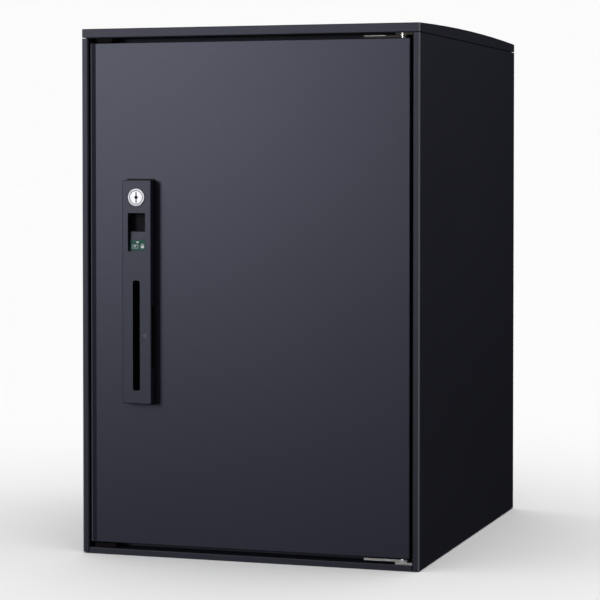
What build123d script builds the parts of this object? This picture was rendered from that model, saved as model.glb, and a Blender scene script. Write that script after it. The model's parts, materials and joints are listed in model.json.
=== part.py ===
from build123d import *
from math import atan, cos, degrees, hypot, radians, tan
import os

os.makedirs("parts", exist_ok=True)

# Parcel locker in bent sheet steel, millimetres.
# X runs left to right, Y front to back, Z up. The origin is on the underside,
# at the centre of the cabinet's width and depth.

# ---- driving sizes: cabinet ----
width = 390.0            # over the side panels
depth = 463.5            # front face of the side panels to their rear face
height = 590.0           # underside to the crown of the roof
sheet = 1.0              # sheet steel of panels and door
base_sheet = 1.2         # sheet steel of the base tray
roof_sheet = 1.2         # sheet steel of the roof cap
bend = 1.5               # bend radius on the middle of the sheet
panel_play = 0.2         # room between sheets that slide past each other
frame_face = 8.0         # width of the side panel's front face
rear_flange = 14.0       # side panel's flange behind the rear panel
shelf_flange = 12.0      # side panel's flanges over the base and under the ceiling
stop_reach = 30.0        # from the side wall to the free edge of the door stop
roof_crown = 3.5         # rise of the roof between its front edge and its middle
roof_face = 9.5          # height of the roof cap's front face
roof_joint = 1.0         # ceiling sheet, which shows as a shadow line under the cap
joint_inset = 4.0        # how far that sheet stays behind the outer faces
sill = 7.0               # height of the base tray's front lip
sill_stop = 17.0         # height of the stop behind the door's lower edge
header_stop = 20.0       # height of the stop behind the door's upper edge

# ---- driving sizes: door ----
door_left_gap = 1.8
door_right_gap = 2.6
door_bottom_gap = 6.6
door_top_gap = 5.8
door_proud = 1.0         # door face ahead of the side panels' front faces
door_depth = 22.0        # door face to the rear of the inner panel
door_return = 10.0       # flange that the inner panel is riveted to
bevel_width = 7.7        # sloping strip along the door's free edge
bevel_drop = 3.0
seal_thick = 3.0
seal_width = 7.0
stiffener_x = 20.0       # stiffener's left foot, right of the cabinet's middle
stiffener_foot = 18.0
stiffener_top = 34.0
seal_gap = 0.3           # uncompressed seal to door

# ---- driving sizes: hinges ----
pivot_from_edge = 8.7    # pin to the door's hinge-side edge
pivot_setback = 6.0      # pin behind the door's face
pin_r = 2.6
running = 0.05           # radial clearance of a running fit
leaf_thick = 2.4
leaf_depth = 16.0
leaf_length = 48.6       # door leaf, from its free end past the pin
frame_leaf_length = 19.0
leaf_gap = 0.4
washer_thick = 0.3
screw_r = 1.9
screw_head_r = 3.4
spacer_r = 4.5
leaf_corner = 3.5        # rounding of a door leaf about its pin
pin_wall = 6.0           # pin to the end of a door leaf

# ---- driving sizes: handle bar with lock, window and slip slot ----
bar_width = 34.0
bar_height = 246.9
bar_proud = 15.0         # bar face ahead of the door face
bar_wall = 2.0
bar_front = 2.5
bar_from_left = 62.2     # bar centre from the door's free edge
bar_bottom = 171.4
gasket_thick = 1.5
gasket_margin = 1.6
lock_from_top = 18.9     # lock cylinder's axis from the bar's upper end
lock_ring_r = 9.7
lock_body_r = 8.9
lock_behind = 9.0        # lock body behind the door skin
lock_nut_r = 12.0
plug_behind = 9.6        # plug behind the door skin, up to the cam
cam_thick = 3.0
cam_half = 4.5
cam_reach = 14.0
tail_half = 2.5          # half the plug's square tail
keyway_half = 0.7
keyway_reach = 6.1
cam_screw_r = 1.2
plug_r = 7.3
window_width = 20.5
window_rise = 168.5      # window's lower edge over the bar's lower end
window_height = 42.2
tile_recess = 5.0
pocket_depth = 12.0
tile_visible = 21.9      # tile top above the window's lower edge when unlocked
tile_play = 0.25
lock_travel = 14.0
stem_width = 7.5
stem_height = 6.5
stem_play = 0.5
tile_over_stem = 1.1     # tile above its stem, beyond the travel, which hides the stem's slot
tile_under_stem = 1.3
slot_width = 8.4
slot_rise = 14.8         # slip slot's lower end over the bar's lower end
slot_height = 121.5
slot_offset = -0.35      # slot centre from the bar's centre
guide_wall = 1.5
guide_depth = 62.0       # slip guide behind the bar's front
grip_rise = 39.6
grip_height = 69.0
grip_depth = 9.1         # sideways, from the bar's right side
grip_thick = 9.0

# ---- driving sizes: lock work ----
plate = 2.0
rod_r = 3.0
rod_inset = 16.2         # rods from the door's free edge
rod_end_gap = 0.6        # locked rods' ends to the sill and the ceiling
rod_room = 1.2           # room round a rod in its strike
lower_strike_x = 26.0
upper_strike_x = 19.0
strike_y = 12.0
lower_strike_z = 5.0
upper_strike_z = 4.8
strike_screw_x = 6.9     # strike screws to each side of the rod
strike_screw_r = 1.2
magnet_low, magnet_high = 281.0, 319.0
housing_margin = 6.0     # magnet housing past the magnet
link_half = 12.0         # rocker pivot to each rod pin, sideways
link_pin_r = 2.0
link_play = 0.4          # pin in its slot
rocker_drop = 12.7       # rocker's stud below the lock cylinder's axis
guide_block = 14.0
stamp_rise = 61.0        # stamp over the slip slot's lower end
stamp_travel = 5.0
stamp_r = 6.5
cup_wall = 1.5

# ---- driving sizes: cover inside the door ----
cover_left = 34.6        # from the door's free edge
cover_width = 72.0
cover_margin = 3.4       # cover past the bar's lower end
cover_over = 5.7         # cover past the bar's upper end
cover_depth = 42.0
cover_wall = 2.0
ear_r = 5.0              # round ears that the cover is screwed down by
ear_out = 4.0            # ear centre past the cover
ear_inset = 10.0         # ear centre from the cover's side
cover_frame = 5.0        # inner panel's opening inside the cover's edge
lid_width = 34.0
lid_height = 40.0
lid_thick = 2.0
lid_pin_r = 1.2

# ---- driving sizes: holes that fasten the locker ----
anchor_x = 280.0         # spacing of the base's anchor holes
anchor_y = 340.0
anchor_r = 5.0
wall_x = 260.0           # spacing of the rear panel's wall holes
wall_z = 350.0
wall_low = 120.0
wall_r = 4.0
drain_r = 2.5
rivet_r = 1.6
rivet_head_r = 3.2
rivet_head = 1.0

# ---- levels and planes that follow ----
half_w = width / 2
half_d = depth / 2
front = -half_d
rear = half_d
opening = half_w - frame_face
roof_edge_z = height - roof_crown
cap_z = roof_edge_z - roof_face
ceiling_z = cap_z - roof_joint
wall_z0 = base_sheet
door_x0 = -opening + door_left_gap
door_x1 = opening - door_right_gap
door_z0 = sill + door_bottom_gap
door_z1 = ceiling_z - door_top_gap
door_y0 = front - door_proud
door_y1 = door_y0 + door_depth
skin_back = door_y0 + sheet
panel_front = door_y1 - sheet
stop_y = door_y1 + seal_gap + seal_thick
stop_x = half_w - stop_reach
pivot_x = door_x1 - pivot_from_edge
pivot_y = door_y0 + pivot_setback
bar_x = door_x0 + bar_from_left
bar_y0 = door_y0 - bar_proud
bar_inner = bar_y0 + bar_front
bar_back = door_y0 - gasket_thick
bar_top = bar_bottom + bar_height
lock_height = bar_top - lock_from_top
window_bottom = bar_bottom + window_rise
slot_bottom = bar_bottom + slot_rise
grip_bottom = bar_bottom + grip_rise
rocker_height = lock_height - rocker_drop
stamp_height = slot_bottom + stamp_rise
pocket_y = bar_y0 + pocket_depth
window_top = window_bottom + window_height
window_x0 = bar_x - window_width / 2
window_x1 = bar_x + window_width / 2
tile_top = window_bottom + tile_visible
stem_top = tile_top - lock_travel - tile_over_stem
stem_bottom = stem_top - stem_height
stem_z = (stem_top + stem_bottom) / 2
tile_bottom = stem_bottom - tile_under_stem
slot_x = bar_x + slot_offset
slot_x0 = slot_x - slot_width / 2
slot_x1 = slot_x + slot_width / 2
slot_top = slot_bottom + slot_height
rod_x = door_x0 + rod_inset
rod_y = (skin_back + panel_front) / 2
rocker_x = rod_x + link_half
work_y = skin_back + 3.75          # front of the slider plate, behind the rocker
rocker_y = skin_back + 0.55
cover_x0 = door_x0 + cover_left
cover_x1 = cover_x0 + cover_width
cover_bottom = bar_bottom - cover_margin
cover_z1 = bar_top + cover_over
cover_back = door_y1 + cover_depth
leaf_y0 = pivot_y - leaf_depth / 4
leaf_y1 = leaf_y0 + leaf_depth
screw_y = pivot_y + leaf_depth / 4
leaf_x0 = pivot_x + pin_wall - leaf_length
low_frame_z = sill
low_door_z = low_frame_z + leaf_thick + leaf_gap
up_frame_z = ceiling_z - leaf_thick
up_door_z = up_frame_z - leaf_gap - leaf_thick


def block(x0, x1, y0, y1, z0, z1):
    """A box between two opposite corners."""
    box = Box(x1 - x0, y1 - y0, z1 - z0, align=(Align.MIN, Align.MIN, Align.MIN))
    return Pos(x0, y0, z0) * box


def bar_along_x(y, z, r, x0, x1):
    """A round bar along X."""
    round_bar = Cylinder(r, x1 - x0, align=(Align.CENTER, Align.CENTER, Align.MIN))
    return Pos(x0, y, z) * Rot(0, 90, 0) * round_bar


def bar_along_y(x, z, r, y0, y1):
    """A round bar along Y."""
    round_bar = Cylinder(r, y1 - y0, align=(Align.CENTER, Align.CENTER, Align.MIN))
    return Pos(x, y0, z) * Rot(-90, 0, 0) * round_bar


def bar_along_z(x, y, r, z0, z1):
    """A round bar along Z."""
    round_bar = Cylinder(r, z1 - z0, align=(Align.CENTER, Align.CENTER, Align.MIN))
    return Pos(x, y, z0) * round_bar


def bent_sheet(points, thick, z0, z1):
    """A sheet bent along the middle line through XY points, standing from z0 to z1."""
    middle = FilletPolyline(*points, radius=bend)
    return Pos(0, 0, z0) * extrude(trace(middle, line_width=thick), amount=z1 - z0)


def slot_along_y(x, z_low, z_high, half, y0, y1):
    """A round-ended slot standing along Z, cut along Y."""
    straight = block(x - half, x + half, y0, y1, z_low + half, z_high - half)
    low_end = bar_along_y(x, z_low + half, half, y0, y1)
    high_end = bar_along_y(x, z_high - half, half, y0, y1)
    return straight + low_end + high_end


def pan_rivet(x, y, z, y_head, y_end):
    """A rivet along Y with a low head outside y_head."""
    step = 1 if y_end > y_head else -1
    low, high = sorted((y_head, y_end))
    head_low, head_high = sorted((y_head, y_head - step * rivet_head))
    shank = bar_along_y(x, z, rivet_r, low, high)
    return shank + bar_along_y(x, z, rivet_head_r, head_low, head_high)


def upright_rivet(x, y, z_head, z_end):
    """A rivet along Z with a low head outside z_head."""
    step = 1 if z_end > z_head else -1
    low, high = sorted((z_head, z_end))
    head_low, head_high = sorted((z_head, z_head - step * rivet_head))
    shank = bar_along_z(x, y, rivet_r, low, high)
    return shank + bar_along_z(x, y, rivet_head_r, head_low, head_high)


def pan_screw(x, y, z_head, z_end, head=1.4):
    """A pan-head screw along Z whose head sits outside z_head."""
    step = 1 if z_end > z_head else -1
    low, high = sorted((z_head, z_end))
    head_low, head_high = sorted((z_head, z_head - step * head))
    shank = bar_along_z(x, y, screw_r, low, high)
    return shank + bar_along_z(x, y, screw_head_r, head_low, head_high)


def flush_screw(x, y, z_face, z_end):
    """A countersunk screw along Z whose head ends flush with z_face."""
    step = 1 if z_end > z_face else -1
    cone_height = screw_head_r - screw_r
    low, high = sorted((z_face, z_end))
    shank = bar_along_z(x, y, screw_r, low, high)
    low_r, high_r = (screw_head_r, screw_r) if step > 0 else (screw_r, screw_head_r)
    cone_z = z_face if step > 0 else z_face - cone_height
    cone = Cone(low_r, high_r, cone_height, align=(Align.CENTER, Align.CENTER, Align.MIN))
    return shank + Pos(x, y, cone_z) * cone


def group(solids):
    """Separate solids that share one node."""
    return Compound(children=list(solids))


def less(shape, cutters):
    """A piece with the space of others cut from it."""
    for cutter in cutters:
        shape = shape - cutter
    return shape


def save(node, shape):
    export_step(shape, f"parts/{node}.step")


# ---- fasteners, which cut their own holes in what they hold together ----
screw_xs = (leaf_x0 + 8.0, leaf_x0 + 26.0)
door_leaf_screws = []
hinge_spacers = []
for x in screw_xs:
    door_leaf_screws.append(flush_screw(x, screw_y, low_door_z, door_z0 + 5.0))
    door_leaf_screws.append(flush_screw(x, screw_y, up_door_z + leaf_thick, door_z1 - 5.0))
    hinge_spacers.append(bar_along_z(x, screw_y, spacer_r, low_door_z + leaf_thick, door_z0))
    hinge_spacers.append(bar_along_z(x, screw_y, spacer_r, door_z1, up_door_z))
hinge_spacers = [less(spacer, door_leaf_screws) for spacer in hinge_spacers]

frame_leaf_screws = []
for x, y in ((pivot_x + 6.6, pivot_y + 8.3), (pivot_x - 3.2, pivot_y + 8.3)):
    frame_leaf_screws.append(flush_screw(x, y, low_frame_z + leaf_thick, sill - 4.0))
    frame_leaf_screws.append(flush_screw(x, y, up_frame_z, cap_z + 4.0))

rear_zs = [wall_z0 + 40.0 + i * (ceiling_z - wall_z0 - 80.0) / 4 for i in range(5)]
rear_rivet_x = half_w - rear_flange / 2
rear_rivets = []
for x in (-rear_rivet_x, rear_rivet_x):
    for z in rear_zs:
        rear_rivets.append(pan_rivet(x, 0, z, rear - 2 * sheet, rear))

shelf_x = half_w - sheet - shelf_flange / 2
shelf_ys = [-half_d / 2 - 40.0 + i * (half_d + 80.0) / 3 for i in range(4)]
base_rivets = []
roof_screws = []
for x in (-shelf_x, shelf_x):
    for y in shelf_ys:
        base_rivets.append(upright_rivet(x, y, wall_z0 + sheet, 0.0))
        roof_screws.append(pan_screw(x, y, ceiling_z - sheet, cap_z + 5.0))

inner_rivet_x0 = door_x0 + sheet + door_return / 2
inner_rivet_x1 = door_x1 - sheet - door_return / 2
inner_panel_rivets = []
for x in (inner_rivet_x0, inner_rivet_x1):
    for i in range(5):
        z = door_z0 + 30.0 + i * (door_z1 - door_z0 - 60.0) / 4
        inner_panel_rivets.append(bar_along_y(x, z, rivet_r, panel_front - sheet, door_y1))


# ---- cabinet ----
def side_panel(side):
    """Side wall, front face, jamb, door stop and rear flange bent from one sheet."""
    wall_x = side * (half_w - sheet / 2)
    jamb_x = side * (opening + sheet / 2)
    points = [
        (side * (half_w - rear_flange), rear - sheet / 2),
        (wall_x, rear - sheet / 2),
        (wall_x, front + sheet / 2),
        (jamb_x, front + sheet / 2),
        (jamb_x, stop_y + sheet / 2),
        (side * stop_x, stop_y + sheet / 2),
    ]
    panel = bent_sheet(points, sheet, wall_z0, ceiling_z)
    x0, x1 = sorted((side * (half_w - sheet / 2), side * (half_w - sheet - shelf_flange)))
    shelf_y0 = stop_y + 2 * sheet
    shelf_y1 = rear - 2 * sheet - panel_play
    panel += block(x0, x1, shelf_y0, shelf_y1, wall_z0, wall_z0 + sheet)
    panel += block(x0, x1, shelf_y0, shelf_y1, ceiling_z - sheet, ceiling_z)
    return less(panel, rear_rivets + base_rivets + roof_screws)


def rear_panel():
    """Flat sheet inside the side panels' rear flanges, with the wall holes."""
    inner = half_w - sheet / 2 - bend - panel_play
    panel = block(-inner, inner, rear - 2 * sheet, rear - sheet, wall_z0, ceiling_z)
    for x in (-wall_x / 2, wall_x / 2):
        for z in (wall_low, wall_low + wall_z):
            panel -= bar_along_y(x, z, wall_r, rear - 3 * sheet, rear)
    return less(panel, rear_rivets)


def base_tray():
    """Floor, front lip, sill and the low stop behind the door."""
    lip_x = opening - panel_play
    sill_y = stop_y - bend
    floor_x = half_w - joint_inset
    tray = block(-floor_x, floor_x, front, rear, 0, base_sheet)
    tray += block(-lip_x, lip_x, front, front + base_sheet, 0, sill)
    tray += block(-lip_x, lip_x, front, sill_y, sill - base_sheet, sill)
    edge = [e for e in tray.edges().filter_by(Axis.X)
            if abs(e.center().Y - front) < 0.01 and abs(e.center().Z - sill) < 0.01]
    tray = fillet(edge, base_sheet * 0.8)
    stop_in = stop_x - panel_play
    tray += block(-stop_in, stop_in, sill_y, stop_y + base_sheet, sill - base_sheet, sill)
    tray += block(-stop_in, stop_in, stop_y, stop_y + base_sheet, sill - base_sheet, sill + sill_stop)
    back_x = half_w - sheet - shelf_flange - 1.0
    back_y = rear - 2 * sheet
    tray += block(-back_x, back_x, back_y - base_sheet, back_y, 0, sill + sill_stop)
    for x in (-anchor_x / 2, anchor_x / 2):
        for y in (-anchor_y / 2, anchor_y / 2):
            tray -= bar_along_z(x, y, anchor_r, -1, base_sheet + 1)
        tray -= bar_along_z(x * 0.9, rear - 25.0, drain_r, -1, base_sheet + 1)
    return less(tray, base_rivets + frame_leaf_screws)


def roof_profile(inset):
    """Side outline of the crowned roof cap, kept inset from its outer faces."""
    y = half_d - inset
    low = cap_z + inset
    edge = roof_edge_z - inset
    crown = Edge.make_three_point_arc((-y, edge), (0, height - inset), (y, edge))
    sides = Polyline((y, edge), (y, low), (-y, low), (-y, edge))
    return Plane.YZ * make_face([crown] + list(sides.edges()))


def roof_cap():
    """Crowned cap with skirts and a flange that closes its underside's rim."""
    cap = extrude(roof_profile(0), amount=half_w, both=True)
    corners = [e for e in cap.edges().filter_by(Axis.Z) if e.length < roof_face + 1]
    cap = fillet(corners, bend + sheet / 2)
    cap = fillet(cap.faces().sort_by(Axis.Z)[-1].edges(), roof_sheet * 0.8)
    cap -= extrude(roof_profile(roof_sheet), amount=half_w - roof_sheet, both=True)
    rim_x = half_w - rear_flange
    rim_y = half_d - rear_flange
    cap -= block(-rim_x, rim_x, -rim_y, rim_y, cap_z - 1, cap_z + 2 * roof_sheet)
    return less(cap, roof_screws + frame_leaf_screws)


def ceiling_panel():
    """Flat sheet between the side panels and the cap."""
    x = half_w - joint_inset
    y = half_d - joint_inset
    panel = block(-x, x, -y, y, ceiling_z, cap_z)
    return less(panel, roof_screws + frame_leaf_screws)


def header_rail():
    """Angle under the ceiling that stops the door's upper edge."""
    x = stop_x - panel_play
    rail = block(-x, x, stop_y, stop_y + sheet, ceiling_z - header_stop, ceiling_z)
    return rail + block(-x, x, stop_y, stop_y + 20.0, ceiling_z - sheet, ceiling_z)


def catch_hole():
    """Space of the catch magnet, through the left door stop."""
    x0 = -half_w + sheet + 8.5
    return block(x0, x0 + 8.5, stop_y - seal_thick, stop_y + 7.0, magnet_low, magnet_high)


def magnet_housing():
    """Plastic box behind the left door stop that holds the magnet."""
    x0 = -half_w + sheet + 3.0
    housing = block(x0, -stop_x, stop_y + sheet, stop_y + sheet + 9.0,
                    magnet_low - housing_margin, magnet_high + housing_margin)
    return housing - catch_hole()


def strike(strike_x, z0, z1):
    """Plastic block with a square hole that takes the end of a lock rod."""
    x, y = strike_x / 2, strike_y / 2
    body = block(rod_x - x, rod_x + x, rod_y - y, rod_y + y, z0, z1)
    body = fillet(body.edges().filter_by(Axis.Z), 1.5)
    half = rod_r + rod_room
    return body - block(rod_x - half, rod_x + half, rod_y - half, rod_y + half, z0 - 1, z1 + 1)


strike_screws = []
for x in (rod_x - strike_screw_x, rod_x + strike_screw_x):
    strike_screws.append(bar_along_z(x, rod_y, strike_screw_r, sill - 3.0, sill + lower_strike_z))
    strike_screws.append(bar_along_z(x, rod_y, strike_screw_r,
                                     ceiling_z - upper_strike_z, ceiling_z + 4.0))


def frame_leaf(z0):
    """Hinge leaf screwed to the cabinet beside the door opening."""
    leaf = block(opening - frame_leaf_length, opening, leaf_y0, leaf_y1, z0, z0 + leaf_thick)
    leaf -= bar_along_z(pivot_x, pivot_y, pin_r, z0 - 1, z0 + leaf_thick + 1)
    return less(leaf, frame_leaf_screws)


def door_leaf(z0):
    """Hinge leaf under or over the door, round about the pin."""
    leaf = block(leaf_x0, pivot_x + pin_wall, leaf_y0, leaf_y1, z0, z0 + leaf_thick)
    corner = leaf.edges().filter_by(Axis.Z).sort_by(Axis.X)[-2:]
    leaf = fillet(corner, leaf_corner)
    leaf -= bar_along_z(pivot_x, pivot_y, pin_r + running, z0 - 1, z0 + leaf_thick + 1)
    return less(leaf, door_leaf_screws)


def washer(z0):
    """Thin washer between two hinge leaves."""
    ring = bar_along_z(pivot_x, pivot_y, pin_r + 2.4, z0, z0 + washer_thick)
    return ring - bar_along_z(pivot_x, pivot_y, pin_r, z0 - 1, z0 + 1)


low_pin_top = low_door_z + leaf_thick + 0.5
up_pin_bottom = up_door_z - 0.5
low_pin = bar_along_z(pivot_x, pivot_y, pin_r, low_frame_z, low_pin_top)
up_pin = bar_along_z(pivot_x, pivot_y, pin_r, up_pin_bottom, ceiling_z)

catch_magnet = catch_hole()
left_panel = side_panel(-1) - catch_hole()
base = less(base_tray(), strike_screws)
ceiling = less(ceiling_panel(), strike_screws)
cap = less(roof_cap(), strike_screws)

save("left_side_panel", left_panel)
save("right_side_panel", side_panel(1))
save("rear_panel", rear_panel())
save("base_tray", base)
save("ceiling_panel", ceiling)
save("roof_cap", cap)
save("header_rail", header_rail())
save("catch_magnet", catch_magnet)
save("magnet_housing", magnet_housing())
lower_strike = strike(lower_strike_x, sill, sill + lower_strike_z)
upper_strike = strike(upper_strike_x, ceiling_z - upper_strike_z, ceiling_z)
save("lower_strike", less(lower_strike, strike_screws))
save("upper_strike", less(upper_strike, strike_screws))
save("strike_screws", group(strike_screws))
save("lower_frame_leaf", frame_leaf(low_frame_z))
save("upper_frame_leaf", frame_leaf(up_frame_z))
save("lower_hinge_pin", low_pin)
save("upper_hinge_pin", up_pin)
save("hinge_washers", group([washer(low_frame_z + leaf_thick), washer(up_frame_z - washer_thick)]))
save("frame_leaf_screws", group(frame_leaf_screws))
save("rear_rivets", group(rear_rivets))
save("base_rivets", group(base_rivets))
save("roof_screws", group(roof_screws))


# ---- door: skin, inner panel, stiffener, hinge leaves ----
def door_outline(inset):
    """Plan outline of the door with its sloping free edge, kept inset from it."""
    left = door_x0 + inset
    right = door_x1 - inset
    face = door_y0 + inset
    slope = bevel_drop / bevel_width
    shift = inset * (hypot(1, slope) - slope)
    fold_x = door_x0 + bevel_width + inset * (hypot(1, slope) - 1) / slope
    back = panel_front
    edge_y = door_y0 + bevel_drop + shift
    points = [(fold_x, face), (right, face), (right, back), (left, back), (left, edge_y)]
    return Polyline(*points, close=True)


def door_skin():
    """Folded pan with a sloping free edge and returns for the inner panel."""
    outer = Pos(0, 0, door_z0) * extrude(make_face(door_outline(0)), amount=door_z1 - door_z0)
    free_edge = outer.edges().filter_by(Axis.Z).sort_by(Axis.X)[:2].sort_by(Axis.Y)[0]
    outer = fillet([free_edge], bend + sheet / 2)
    face_edges = [e for e in outer.edges()
                  if abs(e.center().Y - door_y0) < 0.01 and e.geom_type == GeomType.LINE]
    outer = fillet(face_edges, 0.8)
    inner = extrude(make_face(door_outline(sheet)), amount=door_z1 - door_z0 - 2 * sheet)
    skin = outer - Pos(0, 0, door_z0 + sheet) * inner
    skin += return_frame()
    skin -= bar_along_y(bar_x, lock_height, lock_body_r, door_y0 - 1, skin_back + 1)
    skin -= stem_slot(door_y0 - 1, skin_back + 1)
    skin -= guide_space(0, door_y0 - 1, skin_back + 1)
    skin -= bar_along_z(rod_x, rod_y, rod_r + 0.6, door_z0 - 1, door_z0 + sheet + 1)
    skin -= bar_along_z(rod_x, rod_y, rod_r + 0.6, door_z1 - sheet - 1, door_z1 + 1)
    return less(skin, door_leaf_screws + inner_panel_rivets + bar_screws)


def return_frame():
    """Flanges behind the door's edges, which the inner panel lies on."""
    y0 = panel_front - sheet
    x0 = door_x0 + sheet / 2
    x1 = door_x1 - sheet / 2
    z0 = door_z0 + sheet / 2
    z1 = door_z1 - sheet / 2
    full = block(x0, x1, y0, panel_front, z0, z1)
    hole = block(x0 + door_return, x1 - door_return, y0 - 1, panel_front + 1,
                 z0 + door_return, z1 - door_return)
    return full - hole


def stem_slot(y0, y1):
    """Opening that the slider's stem travels in."""
    half = stem_width / 2 + stem_play
    low = stem_bottom - lock_travel - stem_play
    return block(bar_x - half, bar_x + half, y0, y1, low, stem_top + stem_play)


def guide_space(extra, y0, y1):
    """Outside of the slip guide, with extra room all round."""
    reach = guide_wall + extra
    return block(slot_x0 - reach, slot_x1 + reach, y0, y1, slot_bottom - reach, slot_top + reach)


def inner_panel():
    """Sheet that closes the door's rear, open behind the lock work."""
    panel = block(door_x0, door_x1, panel_front, door_y1, door_z0, door_z1)
    panel -= block(cover_x0 + cover_frame, cover_x1 - cover_frame, panel_front - 1, door_y1 + 1,
                   cover_bottom + cover_frame, cover_z1 - cover_frame)
    return less(panel, inner_panel_rivets + cover_screws)


def door_seal():
    """Rubber loop on the door's rear, which meets the door stops."""
    out_x = stop_x + 9.0
    low = sill + sill_stop - 2.0 - seal_width
    high = ceiling_z - header_stop + 3.0 + seal_width
    loop = block(-out_x, out_x, door_y1, door_y1 + seal_thick, low, high)
    in_x = out_x - seal_width
    hole = block(-in_x, in_x, door_y1 - 1, door_y1 + 2 * seal_thick,
                 low + seal_width, high - seal_width)
    return loop - hole


def stiffener():
    """Top-hat channel between skin and inner panel, towards the hinge."""
    z0 = door_z0 + door_return + 4.0
    z1 = door_z1 - door_return - 4.0
    y0 = skin_back + sheet / 2
    y1 = panel_front - sheet / 2
    foot_x0, web_x0 = stiffener_x, stiffener_x + stiffener_foot
    web_x1 = web_x0 + stiffener_top
    foot_x1 = web_x1 + stiffener_foot
    points = [(foot_x0, y0), (web_x0, y0), (web_x0, y1), (web_x1, y1), (web_x1, y0), (foot_x1, y0)]
    return bent_sheet(points, sheet, z0, z1)


def gasket():
    """Dark rubber plinth between bar and door."""
    x0 = bar_x - bar_width / 2 + 0.4
    x1 = bar_x + bar_width / 2 - 0.4
    z0 = bar_bottom - gasket_margin
    z1 = bar_top + gasket_margin
    pad = block(x0, x1, bar_back, door_y0, z0, z1)
    pad = fillet(pad.edges().filter_by(Axis.Y), 1.5)
    pad -= bar_along_y(bar_x, lock_height, lock_body_r, bar_back - 1, door_y0 + 1)
    pad -= stem_slot(bar_back - 1, door_y0 + 1)
    pad -= guide_space(0, bar_back - 1, door_y0 + 1)
    return less(pad, bar_screws)


bar_screw_zs = (bar_bottom + 7.6, slot_top + 8.2)
bar_screws = []
for z in bar_screw_zs:
    shank = bar_along_y(bar_x, z, 1.9, bar_inner + 2.0, skin_back)
    bar_screws.append(shank + bar_along_y(bar_x, z, 3.4, skin_back, skin_back + 2.0))


def handle_bar():
    """Hollow cast bar with lock seat, window, slip slot and finger grip."""
    x0 = bar_x - bar_width / 2
    x1 = bar_x + bar_width / 2
    bar = block(x0, x1, bar_y0, bar_back, bar_bottom, bar_top)
    bar = fillet(bar.edges().filter_by(Axis.Y), 1.2)
    bar = fillet(bar.faces().sort_by(Axis.Y)[0].edges(), 0.9)
    bar -= block(x0 + bar_wall, x1 - bar_wall, bar_inner, bar_back + 1,
                 bar_bottom + bar_wall, bar_top - bar_wall)
    bar += bar_along_y(bar_x, lock_height, lock_body_r + 3.0, bar_inner - 0.5, bar_back)
    channel_low = tile_bottom - lock_travel - 0.5
    bar += block(window_x0 - 2.6, window_x1 + 2.6, bar_inner - 0.5, bar_back,
                 channel_low - 2.0, window_top + 2.0)
    bar += block(x1 - grip_depth - 2.0, x1 - bar_wall + 0.5, bar_inner - 0.5, bar_back,
                 grip_bottom - 3.0, grip_bottom + grip_height + 3.0)
    for z in bar_screw_zs:
        bar += bar_along_y(bar_x, z, 3.6, bar_inner - 0.5, bar_back)
    bar -= bar_along_y(bar_x, lock_height, lock_body_r, bar_y0 - 1, bar_back + 1)
    bar -= block(window_x0, window_x1, bar_y0 - 1, pocket_y, window_bottom, window_top)
    bar -= block(window_x0, window_x1, bar_inner, pocket_y, channel_low, window_top)
    bar -= stem_slot(pocket_y - 1, bar_back + 1)
    bar -= slip_opening(bar_y0 - 1, bar_inner + 0.5)
    grip = block(x1 - grip_depth, x1 + 4.0, bar_y0 + 3.2, bar_y0 + 3.2 + grip_thick,
                 grip_bottom, grip_bottom + grip_height)
    grip = fillet(grip.edges().filter_by(Axis.Y).sort_by(Axis.X)[:2], 6.0)
    bar -= grip
    return less(bar, bar_screws)


def slip_opening(y0, y1):
    """Slot for the delivery slip, with softened corners."""
    opening_block = block(slot_x0, slot_x1, y0, y1, slot_bottom, slot_top)
    return fillet(opening_block.edges().filter_by(Axis.Y), 2.2)


def slip_guide():
    """Flat duct that holds the slip in front of the stamp."""
    y0 = bar_inner
    y1 = bar_inner + guide_depth
    duct = guide_space(0, y0, y1)
    duct -= block(slot_x0, slot_x1, y0 - 1, y1 - guide_wall, slot_bottom, slot_top)
    duct -= stamp_window(slot_x1 - 0.5, slot_x1 + guide_wall + 1)
    duct -= platen_space()
    return duct


def stamp_window(x0, x1):
    """Opening in the guide that the stamp comes through."""
    half = stamp_r + 1.0
    return block(x0, x1, stamp_y - half, stamp_y + half, stamp_height - half, stamp_height + half)


def platen_space():
    """Rubber platen in the guide's other wall."""
    half = stamp_r + 1.5
    return block(slot_x0 - guide_wall, slot_x0, stamp_y - half, stamp_y + half,
                 stamp_height - half, stamp_height + half)


stamp_y = door_y1 + 13.5


def lock_body():
    """Cylinder housing with a bright ring, clamped by a nut behind the door."""
    ring = bar_along_y(bar_x, lock_height, lock_ring_r, bar_y0 - 1.0, bar_y0)
    ring = fillet(ring.faces().sort_by(Axis.Y)[0].edges(), 0.5)
    body = ring + bar_along_y(bar_x, lock_height, lock_body_r, bar_y0, skin_back + lock_behind)
    bore = bar_along_y(bar_x, lock_height, plug_r + running, bar_y0 - 2, skin_back + 10)
    body -= bore
    mouth = Cone(plug_r + 0.7, plug_r + running, 0.65,
                 align=(Align.CENTER, Align.CENTER, Align.MIN))
    return body - Pos(bar_x, bar_y0 - 1.0, lock_height) * Rot(-90, 0, 0) * mouth


def lock_nut():
    """Ring nut that clamps the lock through bar, gasket and skin."""
    nut = bar_along_y(bar_x, lock_height, lock_nut_r, skin_back, skin_back + 3.0)
    return nut - bar_along_y(bar_x, lock_height, lock_body_r, skin_back - 1, skin_back + 4)


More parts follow.
